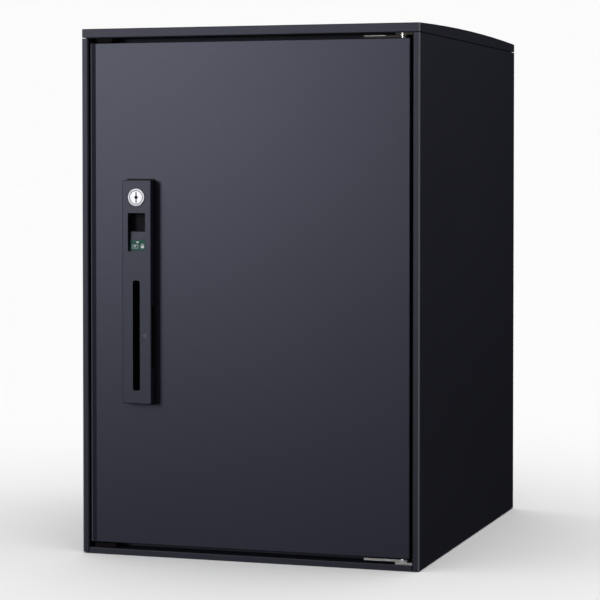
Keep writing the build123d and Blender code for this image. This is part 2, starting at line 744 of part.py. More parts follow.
def lock_plug():
    """Turning plug with a keyway and a square tail."""
    y0 = bar_y0 - 0.9
    y1 = skin_back + plug_behind
    plug = bar_along_y(bar_x, lock_height, plug_r, y0, y1)
    plug = fillet(plug.faces().sort_by(Axis.Y)[0].edges(), 0.4)
    plug += block(bar_x - tail_half, bar_x + tail_half, y1, y1 + cam_thick,
                  lock_height - tail_half, lock_height + tail_half)
    plug -= block(bar_x - keyway_half, bar_x + keyway_half, y0 - 1, y0 + 22.0,
                  lock_height - keyway_reach, lock_height + keyway_reach)
    diamond = Rot(0, 45, 0) * Box(3.6, 3.0, 3.6)
    plug -= Pos(bar_x, y0, lock_height) * diamond
    return plug - cam_screw_shank()


def cam_screw_shank():
    """Shank of the screw in the plug's tail."""
    y1 = skin_back + plug_behind + cam_thick
    return bar_along_y(bar_x, lock_height, cam_screw_r, y1 - 8.0, y1)


def lock_cam():
    """Cam that turns with the plug."""
    y0 = skin_back + plug_behind
    y1 = y0 + cam_thick
    cam = block(bar_x - cam_half, bar_x + cam_half, y0, y1, lock_height - cam_reach, lock_height)
    cam += bar_along_y(bar_x, lock_height, cam_half, y0, y1)
    return cam - block(bar_x - tail_half, bar_x + tail_half, y0 - 1, y1 + 1,
                       lock_height - tail_half, lock_height + tail_half)


def cam_screw():
    """Screw that holds the cam on the plug."""
    y1 = skin_back + plug_behind + cam_thick
    return cam_screw_shank() + bar_along_y(bar_x, lock_height, 4.0, y1, y1 + 1.8)


# ---- cover over the lock work, with its stamp lid ----
cover_screws = []
for x in (cover_x0 + ear_inset, cover_x1 - ear_inset):
    for z in (cover_bottom - ear_out, cover_z1 + ear_out):
        shank = bar_along_y(x, z, 1.6, door_y1 - 6.0, door_y1 + cover_wall)
        cover_screws.append(shank + bar_along_y(x, z, 3.0, door_y1 + cover_wall, door_y1 + cover_wall + 1.8))

lid_x = slot_x1 + guide_wall + 17.0
lid_x0 = lid_x - lid_width / 2
lid_x1 = lid_x + lid_width / 2
lid_z0 = stamp_height - lid_height / 2
lid_z1 = lid_z0 + lid_height
lid_axis_y = cover_back + 1.8
lid_axis_z = lid_z0 - 1.5


def mechanism_cover():
    """Moulded cover with ears, a lid opening and guide ribs for the stamp."""
    cover = block(cover_x0, cover_x1, door_y1, cover_back, cover_bottom, cover_z1)
    cover = fillet(cover.edges().filter_by(Axis.Y), 6.0)
    cover = fillet(cover.faces().sort_by(Axis.Y)[-1].edges(), 2.5)
    cover -= block(cover_x0 + cover_wall, cover_x1 - cover_wall, door_y1 - 1,
                   cover_back - cover_wall, cover_bottom + cover_wall, cover_z1 - cover_wall)
    for x in (cover_x0 + ear_inset, cover_x1 - ear_inset):
        for z, inner in ((cover_bottom - ear_out, cover_bottom + 1.0), (cover_z1 + ear_out, cover_z1 - 1.0)):
            low, high = sorted((z, inner))
            cover += bar_along_y(x, z, ear_r, door_y1, door_y1 + cover_wall)
            cover += block(x - ear_r, x + ear_r, door_y1, door_y1 + cover_wall, low, high)
    cover -= block(lid_x0 + 2.0, lid_x1 - 2.0, cover_back - cover_wall - 1, cover_back + 1,
                   lid_z0 + 2.0, lid_z1 - 2.0)
    for z in (stamp_height - 9.5, stamp_height + 9.5):
        cover += block(slot_x1 + guide_wall + 1.0, cover_x1 - cover_wall + 0.5,
                       door_y1 + 3.0, cover_back - cover_wall + 0.5, z - 0.6, z + 0.6)
    for x in (lid_x0 - 1.7, lid_x1 + 0.3):
        ear = block(x, x + 1.4, cover_back - 0.5, lid_axis_y + 1.8, lid_axis_z - 1.8, lid_axis_z + 1.8)
        cover += ear - bar_along_x(lid_axis_y, lid_axis_z, lid_pin_r + running, x - 1, x + 3)
    return less(cover, cover_screws)


def stamp_lid():
    """Drop-down lid over the stamp, with pins at its lower edge."""
    lid = block(lid_x0, lid_x1, cover_back + 0.3, cover_back + 0.3 + lid_thick, lid_z0, lid_z1)
    lid = fillet(lid.edges().filter_by(Axis.Y).sort_by(Axis.Z)[-2:], 3.0)
    lid += bar_along_x(lid_axis_y, lid_axis_z, 1.5, lid_x0, lid_x1)
    lid += block(lid_x0, lid_x1, lid_axis_y - 0.8, lid_axis_y + 0.5, lid_axis_z, lid_z0 + 1.0)
    lid += bar_along_x(lid_axis_y, lid_axis_z, lid_pin_r, lid_x0 - 1.7, lid_x1 + 1.7)
    lid += block(lid_x - 6.0, lid_x + 6.0, cover_back + 0.3, cover_back + 4.3, lid_z1 - 3.0, lid_z1 - 1.0)
    return lid


# ---- moving lock work ----
def slider_tile():
    """Tile behind the window, with the stem that reaches the slider plate."""
    tile = block(window_x0 + tile_play, window_x1 - tile_play, bar_y0 + tile_recess,
                 pocket_y - 0.3, tile_bottom, tile_top)
    top_edge = [e for e in tile.edges().filter_by(Axis.X)
                if abs(e.center().Z - tile_top) < 0.01 and e.center().Y < bar_y0 + tile_recess + 0.1]
    tile = fillet(top_edge, 0.8)
    tile += block(bar_x - stem_width / 2, bar_x + stem_width / 2, pocket_y - 1.0, work_y,
                  stem_bottom, stem_top)
    return tile - slider_screw_shank()


def slider_screw_shank():
    """Shank of the screw between slider plate and tile."""
    return bar_along_y(bar_x, stem_z, 1.3, work_y - 9.0, work_y + plate)


def slider_screw():
    """Screw that ties the tile to the slider plate."""
    head = bar_along_y(bar_x, stem_z, 2.8, work_y + plate, work_y + plate + 1.6)
    return head + slider_screw_shank()


def status_label():
    """Sticker on the lower part of the tile."""
    y1 = bar_y0 + tile_recess
    return block(window_x0 + tile_play + 0.2, window_x1 - tile_play - 0.2, y1 - 0.15, y1,
                 tile_top - 21.0, tile_top - 9.4)


arm_low = tile_top - 34.1
rocker_angle = degrees(atan(lock_travel / 2 / link_half))
slider_pin_z = rocker_height + lock_travel / 2
rod_pin_z = rocker_height - lock_travel / 2
stamp_pin_x = slot_x1 + guide_wall + 15.0


def slider_plate():
    """Flat plate that carries the slider's push to rods, rocker and stamp."""
    y0 = work_y
    y1 = work_y + plate
    shape = block(bar_x - 8.5, bar_x + 8.5, y0, y1, arm_low, tile_top - 8.0)
    shape += block(rod_x - 5.0, stamp_pin_x + 5.5, y0, y1, arm_low, arm_low + 8.0)
    shape += block(rocker_x + link_half - 4.0, rocker_x + link_half + 4.0, y0, y1,
                   arm_low, slider_pin_z + 4.0)
    shape += block(stamp_pin_x - stamp_travel - 5.0, stamp_pin_x + 5.5, y0, y1,
                   stamp_height - 7.0, arm_low + 8.0)
    shape += bar_along_y(rocker_x + link_half, slider_pin_z, link_pin_r, rocker_y - 0.2, y0)
    slope = degrees(atan(stamp_travel / lock_travel))
    half_length = hypot(stamp_travel, lock_travel) / 2
    reach = link_pin_r + link_play
    track = slot_along_y(0, -half_length - reach, half_length + reach, reach, -5, 5)
    middle = Pos(stamp_pin_x - stamp_travel / 2, work_y, stamp_height + lock_travel / 2)
    shape -= middle * Rot(0, -slope, 0) * track
    shape -= bar_along_y(rod_x, arm_low + 4.0, link_pin_r, y0 - 1, y1 + 1)
    return shape - slider_screw_shank()


def lower_rod():
    """Round rod to the sill, pinned to the slider plate."""
    top = arm_low + 8.0
    low_end = sill + rod_end_gap + lock_travel
    rod = bar_along_z(rod_x, rod_y, rod_r, low_end, top)
    rod = chamfer(rod.faces().sort_by(Axis.Z)[0].edges(), 0.8)
    rod += bar_along_y(rod_x, arm_low + 4.0, link_pin_r, work_y, rod_y)
    rod += bar_along_y(rod_x, arm_low + 4.0, 3.6, work_y + plate, rod_y)
    return rod


def upper_rod():
    """Round rod to the ceiling, pinned to the rocker."""
    high_end = ceiling_z - rod_end_gap - lock_travel
    rod = bar_along_z(rod_x, rod_y, rod_r, rod_pin_z - 5.0, high_end)
    rod = chamfer(rod.faces().sort_by(Axis.Z)[-1].edges(), 0.8)
    return rod + bar_along_y(rod_x, rod_pin_z, link_pin_r, rocker_y - 0.2, rod_y)


def rocker():
    """Lever that turns the slider's fall into the upper rod's rise."""
    far = link_half / cos(radians(rocker_angle))
    half = 5.0
    reach = link_pin_r + link_play
    tip = far + reach + 2.2
    lever = block(-tip + half, tip - half, 0, plate, -half, half)
    for side in (-1, 1):
        lever += bar_along_y(side * (tip - half), 0, half, 0, plate)
        near_x, far_x = sorted((side * (link_half - 0.3), side * (far + 0.3)))
        lever -= block(near_x, far_x, -1, plate + 1, -reach, reach)
        lever -= bar_along_y(near_x, 0, reach, -1, plate + 1)
        lever -= bar_along_y(far_x, 0, reach, -1, plate + 1)
    lever -= bar_along_y(0, 0, 3.0 + running, -1, plate + 1)
    return Pos(rocker_x, rocker_y, rocker_height) * Rot(0, -rocker_angle, 0) * lever


def rocker_stud():
    """Headed stud on the skin that the rocker turns on."""
    y1 = rocker_y + plate + 0.3
    stud = bar_along_y(rocker_x, rocker_height, 3.0, skin_back, y1)
    return stud + bar_along_y(rocker_x, rocker_height, 4.4, y1, y1 + 0.9)


def rod_guide(z0):
    """Plastic block between skin and inner panel that a rod runs in."""
    half = guide_block / 2
    body = block(rod_x - half, rod_x + half, skin_back, panel_front - 2 * sheet, z0, z0 + guide_block)
    return body - bar_along_z(rod_x, rod_y, rod_r + running, z0 - 1, z0 + guide_block + 1)


def stamp_carriage():
    """Block that slides the stamp cup towards the slip."""
    x0 = slot_x1 + guide_wall + 5.0
    x1 = x0 + 14.0
    z0 = stamp_height - 8.5
    z1 = stamp_height + 8.5
    body = block(x0, x1, stamp_y - 8.5, stamp_y + 8.5, z0, z1)
    body -= bar_along_x(stamp_y, stamp_height, stamp_r, x0 - 1, x0 + 6.0)
    return body + bar_along_y(stamp_pin_x, stamp_height, link_pin_r, work_y - 0.4, stamp_y)


def stamp_cup():
    """Cup on the carriage that takes the user's name stamp."""
    x0 = slot_x1 + guide_wall + 1.5
    x1 = slot_x1 + guide_wall + 11.0
    cup = bar_along_x(stamp_y, stamp_height, stamp_r, x0, x1)
    return cup - bar_along_x(stamp_y, stamp_height, stamp_r - cup_wall, x0 - 1, x1 - 2.0)


rod_guides = [rod_guide(door_z0 + sheet), rod_guide(arm_low - 50.0)]
rod_guides += [rod_guide(rocker_height + 25.0), rod_guide(door_z1 - sheet - guide_block)]

save("door_skin", door_skin())
save("door_inner_panel", inner_panel())
save("door_stiffener", stiffener())
save("inner_panel_rivets", group(inner_panel_rivets))
save("lower_door_leaf", door_leaf(low_door_z))
save("upper_door_leaf", door_leaf(up_door_z))
save("hinge_spacers", group(hinge_spacers))
save("door_leaf_screws", group(door_leaf_screws))
save("door_seal", door_seal())
save("bar_gasket", gasket())
save("handle_bar", handle_bar())
save("handle_bar_screws", group(bar_screws))
save("slip_guide", slip_guide())
save("stamp_platen", platen_space())
save("lock_body", lock_body())
save("lock_nut", lock_nut())
save("mechanism_cover", mechanism_cover())
save("cover_screws", group(cover_screws))
save("rod_guides", group(rod_guides))
save("rocker_stud", rocker_stud())
save("lock_plug", lock_plug())
save("lock_cam", lock_cam())
save("cam_screw", cam_screw())
save("slider_tile", slider_tile())
save("status_label", status_label())
save("slider_plate", slider_plate())
save("slider_screw", slider_screw())
save("lower_lock_rod", lower_rod())
save("upper_lock_rod", upper_rod())
save("lock_rocker", rocker())
save("stamp_carriage", stamp_carriage())
save("stamp_cup", stamp_cup())
save("stamp_lid", stamp_lid())
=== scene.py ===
import bpy
import bmesh
import json
from math import pi, radians
from mathutils import Matrix, Vector


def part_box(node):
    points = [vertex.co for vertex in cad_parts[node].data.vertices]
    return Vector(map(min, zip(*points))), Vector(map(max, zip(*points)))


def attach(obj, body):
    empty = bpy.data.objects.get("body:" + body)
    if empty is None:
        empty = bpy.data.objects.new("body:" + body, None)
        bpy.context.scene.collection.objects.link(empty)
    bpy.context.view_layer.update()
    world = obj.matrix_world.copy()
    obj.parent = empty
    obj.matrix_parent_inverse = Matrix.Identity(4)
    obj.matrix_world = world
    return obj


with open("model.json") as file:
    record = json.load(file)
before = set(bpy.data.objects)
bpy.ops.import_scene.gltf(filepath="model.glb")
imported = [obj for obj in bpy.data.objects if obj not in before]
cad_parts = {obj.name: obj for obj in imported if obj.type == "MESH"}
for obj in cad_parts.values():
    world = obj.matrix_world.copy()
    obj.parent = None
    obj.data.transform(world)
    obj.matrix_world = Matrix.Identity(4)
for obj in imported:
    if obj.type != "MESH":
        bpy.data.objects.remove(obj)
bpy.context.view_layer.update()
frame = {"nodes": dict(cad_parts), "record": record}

nodes = frame["nodes"]
mm = 0.001
noiseLow, noiseHigh = 0.3, 0.7   # where a noise texture's values mostly lie
print("frame loaded:", len(nodes), "CAD nodes")

# the camera stands to the right of the door, at about three quarters of the locker's height
view = {
    "place": (0.7991, -2.5055, 0.4359),
    "azimuth": 17.98,   # degrees, towards the right side
    "pitch": 1.6,       # degrees down
    "lens": 132.6,      # mm, on a 36 mm sensor
    "shiftY": -0.1235,  # keeps the uprights nearly parallel
}


def makeCamera():
    data = bpy.data.cameras.new("camera")
    data.sensor_width = 36
    data.lens = view["lens"]
    data.shift_y = view["shiftY"]
    data.clip_start, data.clip_end = 0.05, 80
    camera = bpy.data.objects.new("camera", data)
    camera.location = view["place"]
    camera.rotation_euler = (radians(90 - view["pitch"]), 0, radians(view["azimuth"]))
    bpy.context.scene.collection.objects.link(camera)
    bpy.context.scene.camera = camera


makeCamera()
print("camera set")


# an sRGB hex colour as linear red, green, blue and alpha
def linear(hexText):
    parts = [int(hexText[i:i + 2], 16) / 255 for i in (1, 3, 5)]
    return tuple(p / 12.92 if p <= 0.04045 else ((p + 0.055) / 1.055) ** 2.4 for p in parts) + (1.0,)


# adds one node: its settings are sockets or properties, its links feed its sockets
def addNode(tree, kind, settings=None, links=None):
    node = tree.nodes.new(kind)
    for key, value in (settings or {}).items():
        if isinstance(key, str) and key not in node.inputs:
            setattr(node, key, value)
        else:
            node.inputs[key].default_value = value
    for key, source in (links or {}).items():
        tree.links.new(source, node.inputs[key])
    return node


# a new material with its shader's constants, and the space that its patterns are drawn in
def startMaterial(name, constants, stretch=(1, 1, 1), shift=(0, 0, 0)):
    material = bpy.data.materials.new(name)
    material.use_nodes = True
    tree = material.node_tree
    shader = tree.nodes["Principled BSDF"]
    for socket, value in constants.items():
        shader.inputs[socket].default_value = value
    coords = addNode(tree, "ShaderNodeTexCoord")
    place = addNode(tree, "ShaderNodeMapping", {"Scale": stretch, "Location": shift},
                    {"Vector": coords.outputs["Object"]})
    return material, tree, shader, place.outputs["Vector"]


# gives the shader its colour, its roughness and its bump
def joinShader(tree, shader, colour, roughness, normal):
    tree.links.new(colour, shader.inputs["Base Color"])
    tree.links.new(roughness, shader.inputs["Roughness"])
    tree.links.new(normal, shader.inputs["Normal"])


# powder coat: polyester powder sprayed on sheet steel and baked
# a matt blue-black skin with faint orange peel, a fine sandy tooth and softened sheet edges
# the tooth is drawn coarser than a real coat's, so that it shows
doorCoat = {"colour": "#21222f", "paler": "#272836", "roughness": 0.42, "sheen": "#e4e7ff",
            "cloudMm": 143, "peelMm": 2.6, "peelDepthMm": 0.012, "sandMm": 0.7,
            "sandDepthMm": 0.006, "edgeMm": 0.35,
            "paintedHighlight": "#7c7d88"}   # a paler colour along the front corners and the door's free edge: a painted highlight
cabinetCoat = {**doorCoat, "colour": "#1e1f29", "paler": "#24252f", "roughness": 0.5}
bendHighlight = {"from": 2.0, "to": 1.2, "strength": 1.0}      # painted highlight, mm in from a front corner's sharp outline
doorEdgeHighlight = {"from": 1.9, "to": 1.2, "shallow": 3.4, "deep": 4.6, "strength": 0.7}   # painted highlight along the door's free edge
castCoat = {**doorCoat, "colour": "#22242f", "paler": "#272935", "roughness": 0.45, "peelMm": 1.6,
            "sandMm": 0.55, "sandDepthMm": 0.008, "edgeMm": 0.25,
            "pocketShade": "#0d0b0b", "pocketShadeRoughness": 0.85,
            "pocketShadeFrom": 5.5, "pocketShadeTo": 9.5}   # mm behind the face, where painted shade turns the coat near black and rough in the finger pocket and on the bar's sides
rivetCoat = {**doorCoat, "roughness": 0.5, "peelMm": 1.1, "edgeMm": 0.15}
# painted shade: a near-black copy of the cabinet coat for the header rail and the ceiling panel, which sit in
# the dark gap under the cap
paintedShadeCoat = {**cabinetCoat, "colour": "#121216", "paler": "#16161b", "roughness": 0.7}


def powderCoat(name, coat):
    material, tree, shader, space = startMaterial(name, {"IOR": 1.5, "Specular IOR Level": 0.6,
                                                         "Specular Tint": linear(coat["sheen"])})
    cloud = addNode(tree, "ShaderNodeTexNoise", {"Scale": 1 / (coat["cloudMm"] * mm), "Detail": 2.0},
                    {"Vector": space})
    tint = addNode(tree, "ShaderNodeMix", {"data_type": "RGBA", 6: linear(coat["colour"]),
                   7: linear(coat["paler"])}, {0: cloud.outputs["Fac"]})
    peel = addNode(tree, "ShaderNodeTexNoise", {"Scale": 1 / (coat["peelMm"] * mm), "Detail": 1.0},
                   {"Vector": space})
    sand = addNode(tree, "ShaderNodeTexNoise", {"Scale": 1 / (coat["sandMm"] * mm), "Detail": 2.0,
                   "Roughness": 0.6}, {"Vector": space})
    rough = addNode(tree, "ShaderNodeMapRange", {"From Min": noiseLow, "From Max": noiseHigh,
                    "To Min": coat["roughness"] - 0.03, "To Max": coat["roughness"] + 0.04},
                    {"Value": sand.outputs["Fac"]})
    edge = addNode(tree, "ShaderNodeBevel", {"samples": 4, "Radius": coat["edgeMm"] * mm})
    waves = addNode(tree, "ShaderNodeBump", {"Distance": coat["peelDepthMm"] * mm},
                    {"Height": peel.outputs["Fac"], "Normal": edge.outputs["Normal"]})
    grain = addNode(tree, "ShaderNodeBump", {"Distance": coat["sandDepthMm"] * mm},
                    {"Height": sand.outputs["Fac"], "Normal": waves.outputs["Normal"]})
    parts = addNode(tree, "ShaderNodeSeparateXYZ", None, {"Vector": space})
    if coat is doorCoat:   # painted highlight on the free edge, from the sloping strip round to the door's side
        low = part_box("door_skin")[0]
        near = addNode(tree, "ShaderNodeMapRange", {"From Min": low.x + doorEdgeHighlight["from"] * mm,
                       "From Max": low.x + doorEdgeHighlight["to"] * mm, "To Max": doorEdgeHighlight["strength"]},
                       {"Value": parts.outputs["X"]})
        line = addNode(tree, "ShaderNodeMapRange", {"From Min": low.y + doorEdgeHighlight["deep"] * mm,
                       "From Max": low.y + doorEdgeHighlight["shallow"] * mm, "To Min": 0.0},
                       {"Value": parts.outputs["Y"], "To Max": near.outputs["Result"]})
    else:                  # painted highlight on the two front corners of the side panels and the cap
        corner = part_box("right_side_panel")
        span = corner[1].x - corner[0].y
        across = addNode(tree, "ShaderNodeMath", {"operation": "ABSOLUTE"}, {0: parts.outputs["X"]})
        inward = addNode(tree, "ShaderNodeMath", {"operation": "SUBTRACT"},
                         {0: parts.outputs["Y"], 1: across.outputs[0]})
        line = addNode(tree, "ShaderNodeMapRange", {"From Min": bendHighlight["from"] * mm - span,
                       "From Max": bendHighlight["to"] * mm - span, "To Max": bendHighlight["strength"]},
                       {"Value": inward.outputs[0]})
    # painted highlight: the coat's colour is mixed paler along these lines
    tint = addNode(tree, "ShaderNodeMix", {"data_type": "RGBA", 7: linear(coat["paintedHighlight"])},
                   {0: line.outputs["Result"], 6: tint.outputs[2]})
    joinShader(tree, shader, tint.outputs[2], rough.outputs["Result"], grain.outputs["Normal"])
    # painted shade: from 5.5 to 9.5 mm behind the bar's face the coat turns near black and rough, in the
    # finger pocket and on the bar's sides
    if "pocketShade" in coat:
        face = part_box("handle_bar")[0].y
        deep = addNode(tree, "ShaderNodeMapRange", {"From Min": face + coat["pocketShadeFrom"] * mm,
                       "From Max": face + coat["pocketShadeTo"] * mm}, {"Value": parts.outputs["Y"]})
        shadedTint = addNode(tree, "ShaderNodeMix", {"data_type": "RGBA", 7: linear(coat["pocketShade"])},
                       {0: deep.outputs["Result"], 6: tint.outputs[2]})
        shadedRoughness = addNode(tree, "ShaderNodeMix", {"data_type": "FLOAT", 3: coat["pocketShadeRoughness"]},
                      {0: deep.outputs["Result"], 2: rough.outputs["Result"]})
        joinShader(tree, shader, shadedTint.outputs[2], shadedRoughness.outputs[0], grain.outputs["Normal"])
    return material


# EPDM rubber: extruded strip and cut pads, dull black with a grey bloom and a fine drag along it
def blackRubber():
    look = {"colour": "#0e0e0f", "bloom": "#1c1c1e", "roughness": 0.68, "bloomMm": 16.7, "grainMm": 0.8}
    material, tree, shader, space = startMaterial("epdmRubberBlack", {"Specular IOR Level": 0.35})
    bloom = addNode(tree, "ShaderNodeTexNoise", {"Scale": 1 / (look["bloomMm"] * mm), "Detail": 4.0},
                    {"Vector": space})
    tint = addNode(tree, "ShaderNodeMix", {"data_type": "RGBA", 6: linear(look["colour"]),
                   7: linear(look["bloom"])}, {0: bloom.outputs["Fac"]})
    grain = addNode(tree, "ShaderNodeTexNoise", {"Scale": 1 / (look["grainMm"] * mm), "Detail": 3.0},
                    {"Vector": space})
    rough = addNode(tree, "ShaderNodeMapRange", {"To Min": look["roughness"] - 0.08,
                    "To Max": look["roughness"] + 0.08}, {"Value": bloom.outputs["Fac"]})
    bump = addNode(tree, "ShaderNodeBump", {"Distance": 0.03 * mm}, {"Height": grain.outputs["Fac"]})
    joinShader(tree, shader, tint.outputs[2], rough.outputs["Result"], bump.outputs["Normal"])
    return material


# sintered ferrite: charcoal ceramic magnet, ground flat, with fine grind lines and small bright grains
def ferrite():
    look = {"colour": "#2b2b2e", "grain": "#4c4d52", "grainMm": 0.6, "lineMm": 0.5}
    material, tree, shader, space = startMaterial("sinteredFerrite", {"Metallic": 0.3},
                                                  stretch=(1, 1, 0.05))
    lines = addNode(tree, "ShaderNodeTexNoise", {"Scale": 1 / (look["lineMm"] * mm), "Detail": 2.0},
                    {"Vector": space})
    grains = addNode(tree, "ShaderNodeTexVoronoi", {"Scale": 1 / (look["grainMm"] * mm)},
                     {"Vector": space})
    speck = addNode(tree, "ShaderNodeMapRange", {"From Min": 0.12, "From Max": 0.02},
                    {"Value": grains.outputs["Distance"]})
    tint = addNode(tree, "ShaderNodeMix", {"data_type": "RGBA", 6: linear(look["colour"]),
                   7: linear(look["grain"])}, {0: speck.outputs["Result"]})
    rough = addNode(tree, "ShaderNodeMapRange", {"To Min": 0.38, "To Max": 0.58},
                    {"Value": lines.outputs["Fac"]})
    bump = addNode(tree, "ShaderNodeBump", {"Distance": 0.01 * mm}, {"Height": lines.outputs["Fac"]})
    joinShader(tree, shader, tint.outputs[2], rough.outputs["Result"], bump.outputs["Normal"])
    return material


# glass-filled nylon and ABS, injection moulded in a spark-eroded tool
# dark grey-black, finely pitted, with slightly glossier flow patches; the pits are drawn coarser than
# real ones, so that they show
mouldings = {"colour": "#1a1b1f", "paler": "#202126", "roughness": 0.48, "gloss": 0.5,
             "sheen": "#e8eaff", "flowMm": 22.2, "pitMm": 0.6, "pitDepthMm": 0.012, "edgeMm": 0.2}
tilePlastic = {**mouldings, "colour": "#22232b", "paler": "#282933", "roughness": 0.42}
strikePlastic = {**mouldings, "colour": "#120e0d", "paler": "#191413", "roughness": 0.75, "gloss": 0.12}


def mouldedPlastic(name, look):
    material, tree, shader, space = startMaterial(name, {"IOR": 1.5, "Specular IOR Level": look["gloss"],
                                                         "Specular Tint": linear(look["sheen"])})
    flow = addNode(tree, "ShaderNodeTexNoise", {"Scale": 1 / (look["flowMm"] * mm), "Detail": 2.0},
                   {"Vector": space})
    pits = addNode(tree, "ShaderNodeTexVoronoi", {"Scale": 1 / (look["pitMm"] * mm),
                   "feature": "SMOOTH_F1"}, {"Vector": space})
    tint = addNode(tree, "ShaderNodeMix", {"data_type": "RGBA", 6: linear(look["colour"]),
                   7: linear(look["paler"])}, {0: flow.outputs["Fac"]})
    rough = addNode(tree, "ShaderNodeMapRange", {"From Min": noiseLow, "From Max": noiseHigh,
                    "To Min": look["roughness"] - 0.06, "To Max": look["roughness"] + 0.06},
                    {"Value": flow.outputs["Fac"]})
    edge = addNode(tree, "ShaderNodeBevel", {"samples": 4, "Radius": look["edgeMm"] * mm})
    bump = addNode(tree, "ShaderNodeBump", {"Distance": look["pitDepthMm"] * mm},
                   {"Height": pits.outputs["Distance"], "Normal": edge.outputs["Normal"]})
    joinShader(tree, shader, tint.outputs[2], rough.outputs["Result"], bump.outputs["Normal"])
    return material


# 304 stainless sheet, belt brushed along its length: bright, streaked, with a slightly warm grey
# the belt's lines are drawn coarser than real ones, so that they show
# the upper leaves get a darker copy of the same steel: painted shade, with some oil and dust
# its colour is set paler than bare stainless: painted light that keeps the lower leaves bright in the door's
# shadow
leafSteel = {"colour": "#fbfaf8", "darker": "#dfdedb", "roughness": 0.33, "lineMm": 0.35}
leafSteelShaded = {**leafSteel, "colour": "#35322f", "darker": "#211f1e", "roughness": 0.4}


def brushedStainless(name, look):
    material, tree, shader, space = startMaterial(name, {"Metallic": 1.0}, stretch=(0.04, 1, 1))
    lines = addNode(tree, "ShaderNodeTexNoise", {"Scale": 1 / (look["lineMm"] * mm), "Detail": 3.0,
                    "Roughness": 0.7}, {"Vector": space})
    tint = addNode(tree, "ShaderNodeMix", {"data_type": "RGBA", 6: linear(look["darker"]),
                   7: linear(look["colour"])}, {0: lines.outputs["Fac"]})
    rough = addNode(tree, "ShaderNodeMapRange", {"From Min": noiseLow, "From Max": noiseHigh,
                    "To Min": look["roughness"] - 0.08, "To Max": look["roughness"] + 0.1},
                    {"Value": lines.outputs["Fac"]})
    edge = addNode(tree, "ShaderNodeBevel", {"samples": 4, "Radius": 0.2 * mm})
    bump = addNode(tree, "ShaderNodeBump", {"Distance": 0.004 * mm},
                   {"Height": lines.outputs["Fac"], "Normal": edge.outputs["Normal"]})
    joinShader(tree, shader, tint.outputs[2], rough.outputs["Result"], bump.outputs["Normal"])
    return material


# zinc plate, clear-blue passivated: soft grey metal with cloudy patches of pale blue and straw
def zincPlate():
    look = {"grey": "#a9adb4", "straw": "#b3ad9c", "roughness": 0.36, "cloudMm": 6.0, "pitMm": 0.5}
    material, tree, shader, space = startMaterial("zincPlatedSteel", {"Metallic": 1.0})
    cloud = addNode(tree, "ShaderNodeTexNoise", {"Scale": 1 / (look["cloudMm"] * mm), "Detail": 3.0},
                    {"Vector": space})
    pits = addNode(tree, "ShaderNodeTexNoise", {"Scale": 1 / (look["pitMm"] * mm), "Detail": 2.0},
                   {"Vector": space})
    patch = addNode(tree, "ShaderNodeMapRange", {"From Min": 0.4, "From Max": 0.65},
                    {"Value": cloud.outputs["Fac"]})
    tint = addNode(tree, "ShaderNodeMix", {"data_type": "RGBA", 6: linear(look["grey"]),
                   7: linear(look["straw"])}, {0: patch.outputs["Result"]})
    rough = addNode(tree, "ShaderNodeMapRange", {"To Min": look["roughness"] - 0.1,
                    "To Max": look["roughness"] + 0.12}, {"Value": cloud.outputs["Fac"]})
    bump = addNode(tree, "ShaderNodeBump", {"Distance": 0.006 * mm}, {"Height": pits.outputs["Fac"]})
    joinShader(tree, shader, tint.outputs[2], rough.outputs["Result"], bump.outputs["Normal"])
    return material


# nickel-chrome plate on turned brass: near white mirror with faint turned rings and key scuffs, and
# near-black painted shade with some grime in the keyway and the groove round the plug
waveRadians = 20   # how far a wave texture's sine turns over one unit
lockLow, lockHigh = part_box("lock_plug")
lockCentre = (lockLow + lockHigh) / 2
plugChrome = {"colour": "#e4e4e8", "shadeAndGrime": "#060608", "roughness": 0.48, "ringMm": 3.14,
              "scuffMm": 1.43, "shadeStartMm": 0.1, "shadeFullMm": 0.5}   # mm behind the face where the painted shade starts and where it is full
ringChrome = {**plugChrome, "colour": "#c2c2c8", "roughness": 0.42, "shadeStartMm": 0.05, "shadeFullMm": 0.6}


def chromePlate(name, look):
    material, tree, shader, space = startMaterial(name, {"Metallic": 1.0},
                                                  shift=(-lockCentre.x, -lockLow.y, -lockCentre.z))
    rings = addNode(tree, "ShaderNodeTexWave", {"wave_type": "RINGS", "rings_direction": "Y",
                    "Scale": 2 * pi / (waveRadians * look["ringMm"] * mm), "Distortion": 0.4},
                    {"Vector": space})
    scuffs = addNode(tree, "ShaderNodeTexNoise", {"Scale": 1 / (look["scuffMm"] * mm), "Detail": 4.0},
                     {"Vector": space})
    parts = addNode(tree, "ShaderNodeSeparateXYZ", None, {"Vector": space})
    # painted shade: the plate turns near black and rough deeper behind the face, in the keyway and the groove
    # round the plug
    deep = addNode(tree, "ShaderNodeMapRange", {"From Min": look["shadeStartMm"] * mm,
                   "From Max": look["shadeFullMm"] * mm}, {"Value": parts.outputs["Y"]})
    tint = addNode(tree, "ShaderNodeMix", {"data_type": "RGBA", 6: linear(look["colour"]),
                   7: linear(look["shadeAndGrime"])}, {0: deep.outputs["Result"]})
    worn = addNode(tree, "ShaderNodeMapRange", {"From Min": 0.45, "From Max": 0.75,
                   "To Min": look["roughness"], "To Max": look["roughness"] + 0.14},
                   {"Value": scuffs.outputs["Fac"]})
    rough = addNode(tree, "ShaderNodeMix", {"data_type": "FLOAT", 3: 0.7},
                    {0: deep.outputs["Result"], 2: worn.outputs["Result"]})
    bump = addNode(tree, "ShaderNodeBump", {"Distance": 0.004 * mm}, {"Height": rings.outputs["Fac"]})
    joinShader(tree, shader, tint.outputs[2], rough.outputs[0], bump.outputs["Normal"])
    return material


